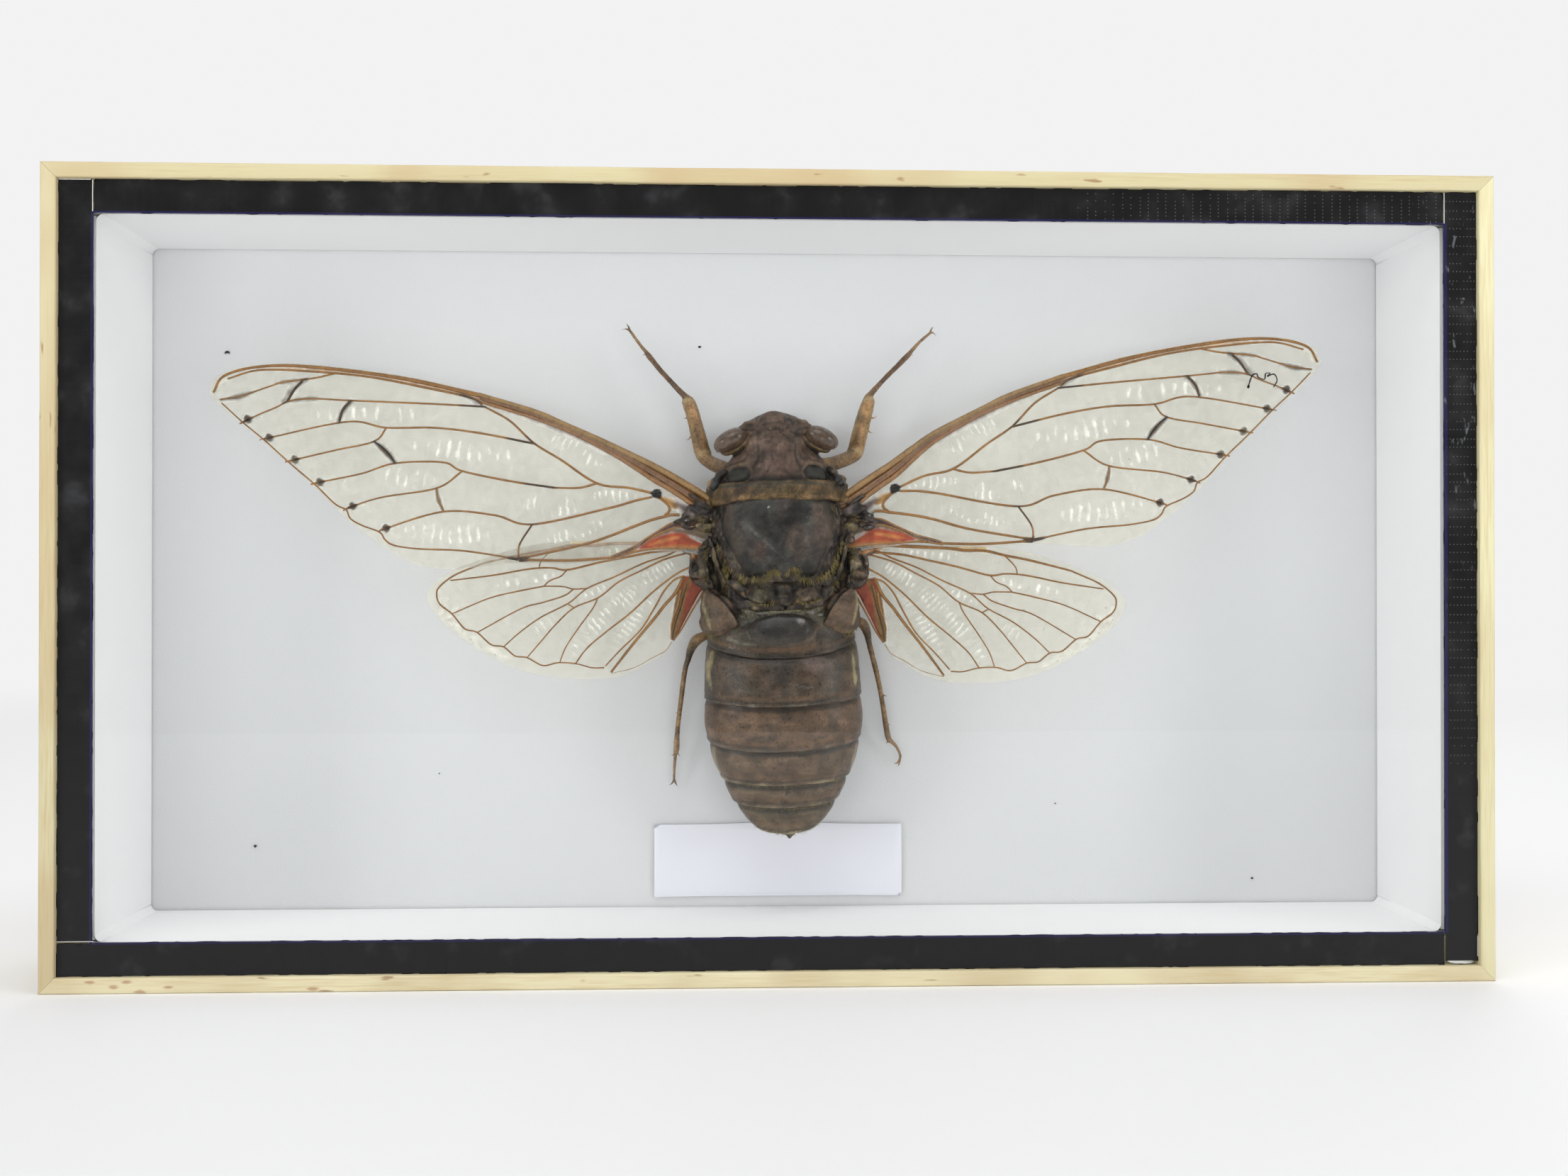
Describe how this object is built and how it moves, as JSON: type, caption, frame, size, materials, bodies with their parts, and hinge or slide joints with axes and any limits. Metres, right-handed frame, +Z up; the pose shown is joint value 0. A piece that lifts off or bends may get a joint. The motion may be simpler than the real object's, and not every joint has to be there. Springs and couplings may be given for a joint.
{
  "type": "framed cicada specimen",
  "caption": "Shallow wooden display box with a glass front and a white lining, holding a large spread cicada fixed to its back board above a small blank card.",
  "frame": {"origin": "middle of the bottom of the box, on the surface that it stands on", "axes": "+X to the right seen from the front, +Y into the depth away from the viewer, +Z up"},
  "size_m": [0.24, 0.04, 0.135],
  "materials": {
    "pine": "bare pale pine, lightly sanded",
    "glass": "clear float glass",
    "tape": "black embossed tape with a soft gloss",
    "lining": "matt white card",
    "board": "matt cool white board",
    "hardboard": "plain brown hardboard",
    "card": "blank matt white card",
    "insect": "dry brown insect shell with clear veined wings"
  },
  "bodies": {
    "root": {"rail_top": "pine", "rail_bottom": "pine", "rail_left": "pine", "rail_right": "pine", "glass_pane": "glass", "tape_top": "tape", "tape_bottom": "tape", "tape_left": "tape", "tape_right": "tape", "lining_top": "lining", "lining_bottom": "lining", "lining_left": "lining", "lining_right": "lining", "mounting_board": "board", "back_panel": "hardboard", "label_card": "card", "cicada": "insect"}
  },
  "joints": []
}
